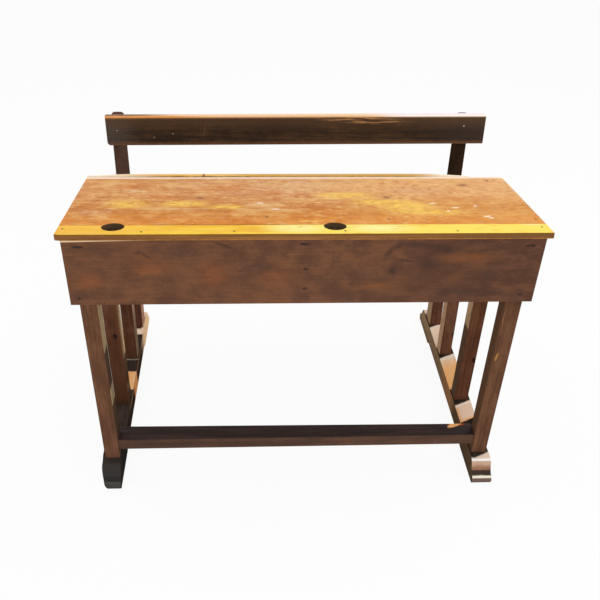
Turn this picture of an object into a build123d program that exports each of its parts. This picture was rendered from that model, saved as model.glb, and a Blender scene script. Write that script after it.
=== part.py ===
from build123d import *
import os
from math import cos, hypot, radians, sin, tan

# School desk for two pupils, with a sloping top, an open book case under it and a bench
# that stands on the same pair of runners. Millimetres, +Z up. X runs along the desk, the
# plain front panel faces -Y and the pupils sit towards +Y. The origin is on the floor,
# midway between the two leg frames and midway along the runners.

# Overall sizes
desk_length = 1100
desk_height = 761
runner_length = 800
post_top = 765.5
seat_top = 432
footrest_top = 120.5

# Sloping top: a narrow strip along the high edge, then the writing board
slope = radians(8)
top_thickness = 14
strip_width = 56
writing_width = 359
front_overhang = 9
end_overhang = 9
back_overhang = 7
far_corner_radius = 14
worn_corner_length = 9
worn_corner_depth = 3
joint_groove = 0.5
board_arris = 1.2

# Inkwell holes, bored across the joint between the strip and the writing board
inkwell_radius = 25
inkwell_rim = 0.9
inkwell_setback = 47
inkwell_room = 1
inkwell_depth = 50
inkwell_shares = (-0.78, 0.12)

# Pencil stop: two lengths of thin lath on the low edge, short of the right end
stop_thickness = 6.5
stop_proud = 7
stop_arris = 1.5
stop_butt_share = -0.445
stop_end_share = 0.838
stop_left_proud = 3
stop_right_proud = 1
stop_wear_length = 105

# Front panel and book case
case_drop = 190
panel_inset = 50
panel_thickness = 14
case_side_thickness = 16.5
case_arris = 1.5
shelf_thickness = 12
shelf_setback = 7
divider_thickness = 16
divider_setback = 15
batten_width = 18
batten_height = 14

# Runners
runner_width = 53
runner_height = 60
runner_ledge = 8
runner_arris = 2.5
foot_pad_length = 150
foot_relief = 11
relief_ramp = 20
toe_shoulder = 46
toe_steep_inset = 28
toe_steep_height = 47
toe_bead_depth = 13
toe_bead_height = 25
toe_clip = 6
worn_toe_radius = 30
worn_toe_depth = 3
worn_toe_start = 78
worn_toe_length = 50

# Uprights, set out along the top of the runners
leg_depth = 42
desk_leg_width = 41
desk_leg_spacing = 221
bench_leg_width = 37
bench_leg_setback = 4
bench_leg_spacing = 163.5
bench_leg_lean = 0.045
post_inset = 70
post_foot_depth = 60
post_lean = 0.088
post_back_lean = 0.037
post_corner_radius = 11
leg_arris = 2.2
tenon_thickness = 20
tenon_width = 30
tenon_length = 36

# Footrest rail between the front legs
footrest_thickness = 35
footrest_left_depth = 56
footrest_right_depth = 48
footrest_setback = 4.6
footrest_arris = 4
footrest_tenon_length = 25
footrest_tenon_depth = 30
footrest_tenon_height = 18

# Bench
seat_thickness = 20
seat_depth = 248
seat_arris = 5
bearer_thickness = 20
bearer_height = 70
bearer_setback = 34.5
bearer_nose = 26
stretcher_thickness = 20
stretcher_height = 60
stretcher_share = 0.54
housing_depth = 8

# Backrest rail, fixed to the front of the posts and a little lower at its left end
rail_rise = 4
rail_width = 84
rail_thickness = 21
rail_left_inset = 17
rail_right_reach = 13
rail_tilt = 0.33
rail_top_radius = 8
rail_arris = 2.5
rail_low_corner_radius = 10
rail_high_corner_radius = 8

# Nails with a flat head on a square shank, and brads without a head
nail_head_radius = 2.5
nail_head_thickness = 1.2
nail_proud = 0.2
nail_shank = 2.4
nail_length = 40
brad_width = 2.6
fine_brad_width = 1.8
short_brad_length = 22

# Slotted countersunk screws
screw_head_radius = 4
screw_head_height = 2.4
screw_shank = 3.6
screw_slot_width = 0.9
screw_slot_depth = 1.1
screw_length = 32

# Eight-sided pegs that hold the uprights' tenons in the runners
peg_radius = 4.8
peg_sides = 8
peg_length = 45

# Small heads and shanks are faceted
head_sides = 12
shank_sides = 6

# Fits and cuts
fit_clearance = 0.2
hole_clearance = 0.1
seat_gap = 0.3
overrun = 5

# Nails in the top: along the length and across what they are driven into
strip_nail_shares = ((-0.66, 0.45), (-0.29, 0.56), (0.156, 0.56), (0.61, 0.28))
strip_end_nail_shares = ((-1, 0.8), (1, 0.52))
strip_end_nail_setback_share = 0.64
board_nail_shares = ((-1, 0.8, 0.123), (-1, 0.55, 0.83), (1, 0.8, 0.09), (1, 0.8, 0.72))

# Nails in the panel: across the leg, then up the panel
panel_leg_nail_shares = ((-1, 0.52, 0.888), (-1, 0.77, 0.103), (1, 0.52, 0.879), (1, 0.67, 0.126))
panel_divider_nail_shares = (0.899, 0.538, 0.232)

# Fastener places that are alike on both sides
case_side_brad_shares = (0.25, 0.74)
shelf_brad_shares = (0.37, 0.93)
divider_brad_shares = (0.25, 0.8)
seat_brad_shares = (0.2, 0.86)
bearer_screw_shares = (0.26, 0.74)
stretcher_brad_shares = (0.25, 0.75)
long_stop_pin_shares = (0.04, 0.27, 0.5, 0.73, 0.96)
short_stop_pin_shares = (0.08, 0.5, 0.92)
rail_screw_shares = ((-1, 0.52), (1, 0.62))

# Lengths and places worked out from the sizes above, along the desk
half_length = desk_length / 2
case_outer = half_length - end_overhang
desk_leg_outer = case_outer - case_side_thickness
desk_leg_inner = desk_leg_outer - desk_leg_width
desk_leg_middle = desk_leg_outer - desk_leg_width / 2
bench_leg_outer = desk_leg_outer - bench_leg_setback
bench_leg_inner = bench_leg_outer - bench_leg_width
bench_leg_middle = bench_leg_outer - bench_leg_width / 2
runner_outer = desk_leg_outer + runner_ledge
runner_inner = runner_outer - runner_width
bearer_inner = bench_leg_inner - bearer_thickness
bearer_middle = bench_leg_inner - bearer_thickness / 2
batten_inner = desk_leg_inner - batten_width
batten_middle = desk_leg_inner - batten_width / 2
stop_butt = half_length * stop_butt_share
stop_end = half_length * stop_end_share
rail_left_end = rail_left_inset - half_length
rail_right_end = half_length + rail_right_reach
rail_middle = (rail_left_end + rail_right_end) / 2
rail_length = rail_right_end - rail_left_end

# Places from front to back
top_width = strip_width + writing_width
panel_front = panel_inset - runner_length / 2
panel_back = panel_front + panel_thickness
top_near = panel_front - front_overhang
top_far = top_near + top_width * cos(slope)
case_back = top_far - back_overhang
shelf_back = case_back - shelf_setback
front_leg_front = panel_back
rear_desk_leg_front = front_leg_front + desk_leg_spacing
front_leg_middle = front_leg_front + leg_depth / 2
rear_desk_leg_middle = rear_desk_leg_front + leg_depth / 2
post_foot = runner_length / 2 - post_inset - post_foot_depth
bench_leg_foot = post_foot - bench_leg_spacing

# Where the uprights stand on the right runner, each by the middle of its foot
front_leg_place = (desk_leg_middle, front_leg_middle)
rear_desk_leg_place = (desk_leg_middle, rear_desk_leg_middle)
bench_leg_place = (bench_leg_middle, bench_leg_foot + leg_depth / 2)
post_place = (bench_leg_middle, post_foot + post_foot_depth / 2)
upright_places = (front_leg_place, rear_desk_leg_place, bench_leg_place, post_place)

# Heights
case_bottom = desk_height - case_drop
shelf_bottom = case_bottom + batten_height
shelf_top = shelf_bottom + shelf_thickness
seat_bottom = seat_top - seat_thickness
bearer_bottom = seat_bottom - bearer_height
stretcher_bottom = seat_bottom - stretcher_height
footrest_bottom = footrest_top - footrest_thickness
peg_height = runner_height - tenon_length / 2

# Frames of the sloping top, the posts' front faces and the backrest rail
top_plane = Plane(
    origin=(0, top_near, desk_height), x_dir=(1, 0, 0), z_dir=(0, sin(slope), cos(slope))
)
post_plane = Plane(
    origin=(0, post_foot, runner_height), x_dir=(1, 0, 0), z_dir=(0, -1, post_lean)
)
rail_top = (post_top + rail_rise - runner_height) * hypot(1, post_lean)
rail_plane = Plane(post_plane * Pos(rail_middle, rail_top) * Rot(Z=rail_tilt))
from_top = (Align.CENTER, Align.CENTER, Align.MAX)

# Directions
up = (0, 0, 1)
down = (0, 0, -1)
forward = (0, -1, 0)
backward = (0, 1, 0)
outward_right = (1, 0, 0)
inward_right = (-1, 0, 0)


def top_surface(y):
    """Height of the writing surface at a place on Y."""
    return desk_height - (y - top_near) * tan(slope)


def underside(y):
    """Height of the underside of the top at a place on Y."""
    return top_surface(y) - top_thickness / cos(slope)


def post_front(z):
    """Place on Y of the front of the backrest post at a height."""
    return post_foot + post_lean * (z - runner_height)


def post_back(z):
    """Place on Y of the back of the backrest post at a height."""
    return post_foot + post_foot_depth + post_back_lean * (z - runner_height)


def bench_leg_front(z):
    """Place on Y of the front of the bench's own leg at a height."""
    return bench_leg_foot + bench_leg_lean * (z - runner_height)


def bench_leg_back(z):
    """Place on Y of the back of the bench's own leg at a height."""
    return bench_leg_front(z) + leg_depth


seat_back = post_front(seat_bottom) - seat_gap
seat_front = seat_back - seat_depth
stretcher_middle = seat_front + seat_depth * stretcher_share


def block(x_range, y_range, z_range):
    """Box between two corners, given as a range on each axis."""
    size = [high - low for low, high in (x_range, y_range, z_range)]
    middle = [(high + low) / 2 for low, high in (x_range, y_range, z_range)]
    return Pos(*middle) * Box(*size)


def around(middle, width):
    """Range of a given width about its middle."""
    return middle - width / 2, middle + width / 2


def prism(outline, x_range):
    """Solid with the same outline of Y and Z all along X."""
    start, end = x_range
    points = [(start, y, z) for y, z in outline]
    return extrude(make_face(Polyline(*points, close=True)), end - start, dir=outward_right)


def leaning_upright(front, back, top):
    """Upright of the bench from the runner to a height, between front(z) and back(z)."""
    outline = [
        (front(runner_height), runner_height),
        (back(runner_height), runner_height),
        (back(top), top),
        (front(top), top),
    ]
    return prism(outline, (bench_leg_inner, bench_leg_outer))


def long_edges(upright):
    """Edges that run up an upright."""
    return upright.edges().filter_by(lambda edge: edge.bounding_box().size.Z > leg_depth)


def pair(name):
    """Names of the left and right piece."""
    return [name + "_left", name + "_right"]


def both(spots):
    """Spots on the right, each an origin and an outward direction, and their mirror images."""
    mirrored = [((-x, y, z), (-across, along, up)) for (x, y, z), (across, along, up) in spots]
    return spots + mirrored


# The sloping top


def at_inkwells(tool):
    """A cutting tool set square to the top at both inkwell holes."""
    places = [Pos(half_length * share, inkwell_setback) for share in inkwell_shares]
    return [top_plane * place * tool for place in places]


def inkwell_bores():
    """Both inkwell holes, each with its worn rim."""
    bore = Cylinder(inkwell_radius, 2 * top_thickness + overrun)
    rim = Cone(inkwell_radius, inkwell_radius + 2 * inkwell_rim, 2 * inkwell_rim)
    return at_inkwells(bore) + at_inkwells(rim)


def inkwell_hollows():
    """Room for the inkwells below the top, a little wider than their holes."""
    room = Cylinder(inkwell_radius + inkwell_room, inkwell_depth, align=from_top)
    return at_inkwells(room)


def joint_line():
    """Shallow V along the joint of the two boards of the top."""
    outline = [
        (strip_width - joint_groove, 0),
        (strip_width, -joint_groove),
        (strip_width + joint_groove, 0),
        (strip_width, joint_groove),
    ]
    return top_plane * prism(outline, (-half_length - overrun, half_length + overrun))


def top_board(board, worn_edges):
    """Board of the top, rounded on its outer edges and cut for the joint and the inkwells."""
    board = top_plane * fillet(worn_edges, board_arris)
    return board - [joint_line()] - inkwell_bores()


def inkwell_strip():
    """Narrow board along the high edge, with its left end corner worn off."""
    strip = block((-half_length, half_length), (0, strip_width), (-top_thickness, 0))
    near_end = strip.edges().filter_by(Axis.Z).group_by(Axis.Y)[0].sort_by(Axis.X)[0]
    strip = chamfer(near_end, worn_corner_depth, worn_corner_length)
    upper = strip.faces().sort_by(Axis.Z)[-1].edges()
    return top_board(strip, upper.filter_by(lambda edge: edge.center().Y < strip_width - overrun))


def writing_board():
    """Wide board that slopes down to the pupils, with its far right corner rounded."""
    board = block((-half_length, half_length), (strip_width, top_width), (-top_thickness, 0))
    far_end = board.edges().filter_by(Axis.Z).group_by(Axis.Y)[-1].sort_by(Axis.X)[-1]
    board = fillet(far_end, far_corner_radius)
    upper = board.faces().sort_by(Axis.Z)[-1].edges()
    return top_board(board, upper.filter_by(lambda edge: edge.center().Y > strip_width + overrun))


def pencil_stop(start, end, upper_edge):
    """Length of thin lath on the low edge, standing proud so that pencils can't roll off."""
    outline = [(start, -top_thickness), (end, -top_thickness)] + upper_edge
    points = [(x, top_width, z) for x, z in outline]
    lath = extrude(make_face(Polyline(*points, close=True)), stop_thickness, dir=backward)
    upper = lath.edges().filter_by(lambda edge: edge.center().Z > 0)
    ridges = upper.filter_by(lambda edge: edge.bounding_box().size.X > stop_thickness)
    return top_plane * fillet(ridges, stop_arris)


def short_pencil_stop():
    """Left length of the pencil stop, worn down towards the desk's end."""
    worn = (stop_wear_length - half_length, stop_proud)
    upper_edge = [(stop_butt, stop_proud), worn, (-half_length, stop_left_proud)]
    return pencil_stop(-half_length, stop_butt, upper_edge)


def long_pencil_stop():
    """Right length of the pencil stop, worn down towards its free end."""
    worn = (stop_end - stop_wear_length, stop_proud)
    upper_edge = [(stop_end, stop_right_proud), worn, (stop_butt, stop_proud)]
    return pencil_stop(stop_butt, stop_end, upper_edge)


# The book case


def under_top(near, far, bottom, x_range):
    """Board on edge below the top, scribed to its slope."""
    outline = [(near, bottom), (far, bottom), (far, underside(far)), (near, underside(near))]
    return prism(outline, x_range)


def front_panel():
    """Wide board across the front, hollowed for the inkwells behind its top edge."""
    panel = under_top(panel_front, panel_back, case_bottom, (-case_outer, case_outer))
    face = panel.faces().sort_by(Axis.Y)[0]
    outer = face.edges().filter_by(lambda edge: edge.center().Z < underside(panel_front) - overrun)
    return fillet(outer, case_arris) - inkwell_hollows()


def case_side():
    """End of the book case, outside the two desk legs."""
    side = under_top(panel_back, case_back, case_bottom, (desk_leg_outer, case_outer))
    outside = side.faces().sort_by(Axis.X)[-1]
    open_edges = side.edges().filter_by(Axis.Z).group_by(Axis.Y)[-1]
    lower = outside.edges().filter_by(Axis.Y)
    return fillet(open_edges + lower, case_arris)


def book_shelf():
    """Bottom of the book case, notched round the four desk legs."""
    width = (-desk_leg_outer, desk_leg_outer)
    shelf = block(width, (panel_back, shelf_back), (shelf_bottom, shelf_top))
    lip = shelf.edges().filter_by(Axis.X).group_by(Axis.Y)[-1]
    shelf = fillet(lip, case_arris)
    notches = []
    for leg_front in (front_leg_front, rear_desk_leg_front):
        notch = block(
            (desk_leg_inner - fit_clearance, desk_leg_outer + overrun),
            (leg_front - fit_clearance, leg_front + leg_depth + fit_clearance),
            (shelf_bottom - overrun, shelf_top + overrun),
        )
        notches += [notch, mirror(notch, about=Plane.YZ)]
    return shelf - notches


def middle_divider():
    """Upright board that parts the two pupils' halves of the book case."""
    thickness = around(0, divider_thickness)
    divider = under_top(panel_back, shelf_back - divider_setback, shelf_top, thickness)
    return fillet(divider.edges().filter_by(Axis.Z).group_by(Axis.Y)[-1], case_arris)


def shelf_batten():
    """Batten on the inner faces of the desk legs that carries the shelf."""
    batten = block(
        (batten_inner, desk_leg_inner), (panel_back, shelf_back), (case_bottom, shelf_bottom)
    )
    lower = batten.edges().filter_by(Axis.Y).group_by(Axis.X)[0].sort_by(Axis.Z)[0]
    return fillet(lower, case_arris)


# Runners and uprights


def runner_outline():
    """Side view of a runner: scrolled toes, flat top and a relief between its foot pads."""
    tip = runner_length / 2
    top = (tip - toe_shoulder, runner_height)
    steep = (tip - toe_steep_inset, toe_steep_height)
    crease = (tip - toe_bead_depth, toe_bead_height)
    nose = (tip, toe_bead_height / 2)
    sole = (tip - toe_clip, 0)
    pad_end = (tip - foot_pad_length, 0)
    arch = (tip - foot_pad_length - relief_ramp, foot_relief)
    shoulder = TangentArc(top, steep, tangent=(1, 0))
    hollow = TangentArc(steep, crease, tangent=shoulder % 1)
    bead = TangentArc(crease, nose, tangent=(1, 0))
    clip = TangentArc(nose, sole, tangent=(0, -1))
    half = [shoulder, hollow, bead, clip, Line(sole, pad_end), Line(pad_end, arch)]
    other_half = [mirror(edge, about=Plane.YZ) for edge in half]
    joins = [Line((-top[0], top[1]), top), Line((-arch[0], arch[1]), arch)]
    return Plane.YZ.offset(runner_inner) * make_face(half + other_half + joins)


def runner():
    """Sledge foot of one side, mortised for its four uprights."""
    tip = runner_length / 2
    bar = block((runner_inner, runner_outer), (-tip, tip), (0, runner_height))
    ridges = bar.edges().filter_by(Axis.Y).group_by(Axis.Z)[-1]
    beam = fillet(ridges, runner_arris) & extrude(runner_outline(), runner_width)
    return beam - [mortise(x, middle) for x, middle in upright_places]


def worn_toe():
    """Plan of the left runner, with its front toe worn narrow and round on the outside."""
    tip = runner_length / 2
    outline = [
        (-runner_inner, -tip),
        (-runner_inner, tip),
        (-runner_outer, tip),
        (-runner_outer, worn_toe_start - tip),
        (worn_toe_depth - runner_outer, worn_toe_length - tip),
        (worn_toe_depth - runner_outer, -tip),
    ]
    plan = extrude(make_face(Polyline(*outline, close=True)), runner_height, dir=up)
    corner = plan.edges().filter_by(Axis.Z).group_by(Axis.Y)[0].sort_by(Axis.X)[0]
    return fillet(corner, worn_toe_radius)


def tenon(x, middle):
    """Tenon under an upright that stands at this place."""
    height = (runner_height - tenon_length, runner_height)
    return block(around(x, tenon_thickness), around(middle, tenon_width), height)


def mortise(x, middle):
    """Cut in a runner that takes the tenon of an upright."""
    thickness = tenon_thickness + 2 * fit_clearance
    width = tenon_width + 2 * fit_clearance
    height = (runner_height - tenon_length - seat_gap, runner_height + overrun)
    return block(around(x, thickness), around(middle, width), height)


def desk_leg(place):
    """Leg under the book case, scribed to the slope of the top."""
    x, middle = place
    near, far = around(middle, leg_depth)
    leg = under_top(near, far, runner_height, (desk_leg_inner, desk_leg_outer))
    return fillet(long_edges(leg), leg_arris) + tenon(x, middle)


def front_leg():
    """Front leg, mortised for the footrest rail."""
    return desk_leg(front_leg_place) - footrest_tenon(fit_clearance)


def bench_leg():
    """Short leg under the front of the seat, leaning back a little."""
    leg = leaning_upright(bench_leg_front, bench_leg_back, seat_bottom)
    return fillet(long_edges(leg), leg_arris) + tenon(*bench_leg_place)


def back_post():
    """Long tapered leg that leans back behind the seat and carries the backrest rail."""
    post = leaning_upright(post_front, post_back, post_top)
    post = fillet(long_edges(post), leg_arris)
    reach = (post_foot - overrun, post_back(post_top) + overrun)
    crown = block((bench_leg_inner, bench_leg_outer), reach, (runner_height, post_top))
    crown = fillet(crown.edges().filter_by(Axis.Y).group_by(Axis.Z)[-1], post_corner_radius)
    return (post & crown) + tenon(*post_place)


def footrest_tenon(clearance):
    """Tenon on the right end of the footrest rail, or with a clearance its mortise."""
    end = desk_leg_inner + footrest_tenon_length
    depth = footrest_tenon_depth + 2 * clearance
    height = footrest_tenon_height + 2 * clearance
    return block(
        (desk_leg_inner, end + clearance),
        around(front_leg_middle, depth),
        around(footrest_top - footrest_thickness / 2, height),
    )


def footrest_rail():
    """Rail between the front legs, deeper at its left end, with a tenon on each end."""
    front = front_leg_front + footrest_setback
    outline = [
        (-desk_leg_inner, front),
        (desk_leg_inner, front),
        (desk_leg_inner, front + footrest_right_depth),
        (-desk_leg_inner, front + footrest_left_depth),
    ]
    plan = Pos(Z=footrest_bottom) * make_face(Polyline(*outline, close=True))
    rail = extrude(plan, footrest_thickness, dir=up)
    long_arrises = rail.edges().filter_by(lambda edge: edge.bounding_box().size.X > desk_leg_inner)
    rail = fillet(long_arrises, footrest_arris)
    tenon_right = footrest_tenon(0)
    return rail + tenon_right + mirror(tenon_right, about=Plane.YZ)


# The bench


def seat_board():
    """Seat, the full length of the desk, up against the posts."""
    seat = block((-half_length, half_length), (seat_front, seat_back), (seat_bottom, seat_top))
    upper = seat.edges().filter_by(Axis.X).group_by(Axis.Z)[-1]
    return fillet(upper, seat_arris)


def seat_bearer():
    """Board on edge across the bench leg and the post that carries one end of the seat."""
    nose = seat_front + bearer_setback
    outline = [
        (nose, seat_bottom),
        (nose, seat_bottom - bearer_nose),
        (nose + bearer_nose, bearer_bottom),
        (post_back(bearer_bottom), bearer_bottom),
        (post_back(seat_bottom), seat_bottom),
    ]
    bearer = prism(outline, (bearer_inner, bench_leg_inner))
    housing = block(
        (bearer_inner - overrun, bearer_inner + housing_depth + fit_clearance),
        around(stretcher_middle, stretcher_thickness + 2 * fit_clearance),
        (stretcher_bottom - fit_clearance, seat_bottom + overrun),
    )
    return bearer - housing


def seat_stretcher():
    """Board on edge under the seat, let into both bearers."""
    reach = bearer_inner + housing_depth
    stretcher = block(
        (-reach, reach),
        around(stretcher_middle, stretcher_thickness),
        (stretcher_bottom, seat_bottom),
    )
    return fillet(stretcher.edges().filter_by(Axis.X).group_by(Axis.Z)[0], case_arris)


def backrest_rail():
    """Rail on the front of the posts, leaning with them and worn round along its top."""
    bar = block(around(0, rail_length), (-rail_width, 0), (0, rail_thickness))
    low_left = bar.edges().filter_by(Axis.Z).group_by(Axis.X)[0].sort_by(Axis.Y)[0]
    rail = fillet(low_left, rail_low_corner_radius)
    high_right = rail.edges().filter_by(Axis.Z).group_by(Axis.X)[-1].sort_by(Axis.Y)[-1]
    rail = fillet(high_right, rail_high_corner_radius)
    rail = fillet(rail.faces().sort_by(Axis.Z)[-1].edges(), rail_arris)
    ridge = bar.edges().filter_by(Axis.X).group_by(Axis.Z)[-1].sort_by(Axis.Y)[-1]
    return rail_plane * (rail & fillet(ridge, rail_top_radius))


# Fasteners


def many_sided(radius, sides, length):
    """Prism that hangs from the origin."""
    return Pos(Z=-length) * extrude(RegularPolygon(radius, sides), length)


def tapered(radius, end_radius, length):
    """Countersunk head that hangs from the origin."""
    upper = RegularPolygon(radius, head_sides)
    return loft([upper, Pos(Z=-length) * RegularPolygon(end_radius, head_sides)])


def nail(length):
    """Nail with a flat head a little proud of the wood, and its hole."""
    low = nail_head_thickness - nail_proud
    head = Pos(Z=nail_proud) * many_sided(nail_head_radius, head_sides, nail_head_thickness)
    shank = Pos(Z=-low) * Box(nail_shank, nail_shank, length, align=from_top)
    sinking = many_sided(nail_head_radius + hole_clearance, head_sides, overrun + low + hole_clearance)
    side = nail_shank + 2 * hole_clearance
    bore = Box(side, side, length + low + hole_clearance, align=from_top)
    return head + shank, Pos(Z=overrun) * sinking + bore


def brad(width, length):
    """Square brad without a head, flush with the wood, and its hole."""
    side = width + 2 * hole_clearance
    hole = Box(side, side, length + overrun + hole_clearance, align=from_top)
    return Box(width, width, length, align=from_top), Pos(Z=overrun) * hole


def screw(length):
    """Countersunk screw with a slot, and its hole."""
    shank_radius = screw_shank / 2
    head = tapered(screw_head_radius, shank_radius, screw_head_height)
    slot = Box(screw_slot_width, 2 * screw_head_radius, screw_slot_depth, align=from_top)
    shank = many_sided(shank_radius, shank_sides, length)
    bore = many_sided(shank_radius + hole_clearance, shank_sides, length + hole_clearance)
    sinking = tapered(
        screw_head_radius + hole_clearance, shank_radius + hole_clearance, screw_head_height
    )
    return head + shank - slot, sinking + bore


def peg(length):
    """Eight-sided wooden peg, flush with the wood, and its hole."""
    hole = many_sided(peg_radius + hole_clearance, peg_sides, length + overrun + hole_clearance)
    return many_sided(peg_radius, peg_sides, length), Pos(Z=overrun) * hole


def drive(pieces, name, fastener, spots, boards):
    """Add a group of fasteners and cut their holes in the boards that they pass through."""
    solid, hole = fastener
    places = [Plane(origin=origin, z_dir=outward) for origin, outward in spots]
    pieces[name] = Compound(children=[place * solid for place in places])
    for board in boards:
        pieces[board] = pieces[board] - [place * hole for place in places]


def strip_nail_spots():
    """Nails down through the strip: four into the panel and one into each case side."""
    spots = []
    for along_share, depth_share in strip_nail_shares:
        y = panel_front + panel_thickness * depth_share
        spots.append(((half_length * along_share, y, top_surface(y)), up))
    y = top_near + strip_width * strip_end_nail_setback_share * cos(slope)
    for side, share in strip_end_nail_shares:
        x = side * (desk_leg_outer + case_side_thickness * share)
        spots.append(((x, y, top_surface(y)), up))
    return spots


def board_nail_spots():
    """Nails down through the writing board into the case sides."""
    spots = []
    for side, across_share, along_share in board_nail_shares:
        x = side * (desk_leg_outer + case_side_thickness * across_share)
        y = top_near + (strip_width + writing_width * along_share) * cos(slope)
        spots.append(((x, y, top_surface(y)), up))
    return spots


def panel_nail_spots():
    """Nails through the panel into the front legs and the middle divider."""
    height = underside(panel_front) - case_bottom
    spots = []
    for side, across_share, up_share in panel_leg_nail_shares:
        x = side * (desk_leg_inner + desk_leg_width * across_share)
        spots.append(((x, panel_front, case_bottom + height * up_share), forward))
    for up_share in panel_divider_nail_shares:
        spots.append(((0, panel_front, case_bottom + height * up_share), forward))
    return spots


def case_side_brad_spots():
    """Brads from outside through the case sides into the desk legs."""
    spots = []
    for y in (front_leg_middle, rear_desk_leg_middle):
        height = underside(y + leg_depth / 2) - shelf_top
        for share in case_side_brad_shares:
            spots.append(((case_outer, y, shelf_top + height * share), outward_right))
    return both(spots)


def batten_brad_spots():
    """Brads through the battens into the desk legs."""
    z = case_bottom + batten_height / 2
    legs = (front_leg_middle, rear_desk_leg_middle)
    return both([((batten_inner, y, z), inward_right) for y in legs])


def shelf_brad_spots():
    """Brads down through the shelf into the battens."""
    depth = shelf_back - panel_back
    places = [panel_back + depth * share for share in shelf_brad_shares]
    return both([((batten_middle, y, shelf_top), up) for y in places])


def divider_brad_spots():
    """Brads up through the shelf into the divider."""
    depth = shelf_back - panel_back
    return [((0, panel_back + depth * share, shelf_bottom), down) for share in divider_brad_shares]


def seat_brad_spots():
    """Brads down through the seat into its bearers and the bench legs."""
    places = [(bearer_middle, seat_front + seat_depth * share) for share in seat_brad_shares]
    places.append((bench_leg_middle, bench_leg_front(seat_bottom) + leg_depth / 2))
    return both([((x, y, seat_top), up) for x, y in places])


def bearer_screw_spots():
    """Screws through the bearers into the bench legs and the posts."""
    spots = []
    for share in bearer_screw_shares:
        z = bearer_bottom + bearer_height * share
        for front, back in ((bench_leg_front, bench_leg_back), (post_front, post_back)):
            spots.append(((bearer_inner, (front(z) + back(z)) / 2, z), inward_right))
    return both(spots)


def stretcher_brad_spots():
    """Brads through the bearers into the ends of the stretcher."""
    heights = [stretcher_bottom + stretcher_height * share for share in stretcher_brad_shares]
    return both([((bench_leg_inner, stretcher_middle, z), outward_right) for z in heights])


def stop_pin_spots():
    """Pins through the pencil stop into the low edge of the writing board."""
    lengths = (
        (-half_length, stop_butt, short_stop_pin_shares),
        (stop_butt, stop_end, long_stop_pin_shares),
    )
    face = top_width + stop_thickness
    outward = top_plane.y_dir
    spots = []
    for start, end, shares in lengths:
        for share in shares:
            place = (start + (end - start) * share, face, -top_thickness / 2)
            spots.append((top_plane.from_local_coords(place), outward))
    return spots


def rail_screw_spots():
    """Screws through the backrest rail into the posts."""
    spots = []
    for side, share in rail_screw_shares:
        across = side * bench_leg_middle - rail_middle
        place = (across, rail_width * (share - 1), rail_thickness)
        spots.append((rail_plane.from_local_coords(place), rail_plane.z_dir))
    return spots


def peg_spots():
    """Pegs from the outer faces of the runners through the tenons."""
    return both([((runner_outer, y, peg_height), outward_right) for x, y in upright_places])


def wooden_pieces():
    """Every board, rail and upright, before the fasteners are driven."""
    pieces = {
        "writing_board": writing_board(),
        "inkwell_strip": inkwell_strip(),
        "pencil_stop_short": short_pencil_stop(),
        "pencil_stop_long": long_pencil_stop(),
        "front_panel": front_panel(),
        "book_shelf": book_shelf(),
        "middle_divider": middle_divider(),
        "footrest_rail": footrest_rail(),
        "seat_board": seat_board(),
        "seat_stretcher": seat_stretcher(),
        "backrest_rail": backrest_rail(),
    }
    sided = {
        "case_side": case_side(),
        "shelf_batten": shelf_batten(),
        "front_leg": front_leg(),
        "rear_desk_leg": desk_leg(rear_desk_leg_place),
        "bench_leg": bench_leg(),
        "back_post": back_post(),
        "runner": runner(),
        "seat_bearer": seat_bearer(),
    }
    for name, piece in sided.items():
        left, right = pair(name)
        pieces[right] = piece
        pieces[left] = mirror(piece, about=Plane.YZ)
    pieces["runner_left"] = pieces["runner_left"] & worn_toe()
    return pieces


def drive_all(pieces):
    """Drive every fastener of the desk."""
    sides = pair("case_side")
    front_legs = pair("front_leg")
    desk_legs = front_legs + pair("rear_desk_leg")
    bench_legs = pair("bench_leg")
    posts = pair("back_post")
    uprights = desk_legs + bench_legs + posts
    bearers = pair("seat_bearer")
    battens = pair("shelf_batten")
    stops = ["pencil_stop_short", "pencil_stop_long"]
    long_nail = nail(nail_length)
    long_brad = brad(brad_width, nail_length)
    short_brad = brad(brad_width, short_brad_length)
    seat_brad = brad(brad_width, seat_thickness + short_brad_length)
    fine_brad = brad(fine_brad_width, short_brad_length)
    wood_screw = screw(screw_length)
    groups = (
        ("strip_nails", long_nail, strip_nail_spots(), ["inkwell_strip", "front_panel"] + sides),
        ("writing_board_nails", long_nail, board_nail_spots(), ["writing_board"] + sides),
        ("panel_nails", long_nail, panel_nail_spots(), ["front_panel", "middle_divider"] + front_legs),
        ("case_side_brads", long_brad, case_side_brad_spots(), sides + desk_legs),
        ("batten_brads", long_brad, batten_brad_spots(), battens + desk_legs),
        ("shelf_brads", short_brad, shelf_brad_spots(), ["book_shelf"] + battens),
        ("divider_brads", long_brad, divider_brad_spots(), ["book_shelf", "middle_divider"]),
        ("seat_brads", seat_brad, seat_brad_spots(), ["seat_board"] + bearers + bench_legs),
        ("stretcher_brads", long_brad, stretcher_brad_spots(), ["seat_stretcher"] + bearers),
        ("pencil_stop_pins", fine_brad, stop_pin_spots(), ["writing_board"] + stops),
        ("bearer_screws", wood_screw, bearer_screw_spots(), bearers + bench_legs + posts),
        ("backrest_screws", wood_screw, rail_screw_spots(), ["backrest_rail"] + posts),
        ("runner_pegs", peg(peg_length), peg_spots(), pair("runner") + uprights),
    )
    for name, fastener, spots, boards in groups:
        drive(pieces, name, fastener, spots, boards)


desk = wooden_pieces()
drive_all(desk)
os.makedirs("parts", exist_ok=True)
for name, piece in desk.items():
    export_step(piece, "parts/" + name + ".step")
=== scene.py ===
"""Looks of the school desk with its bench: old varnished pine on a plain pale floor.

Metres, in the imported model's own frame. Colours are written as 0-255 display values.
"""

import math

import bpy
from mathutils import Matrix, Vector

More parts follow.
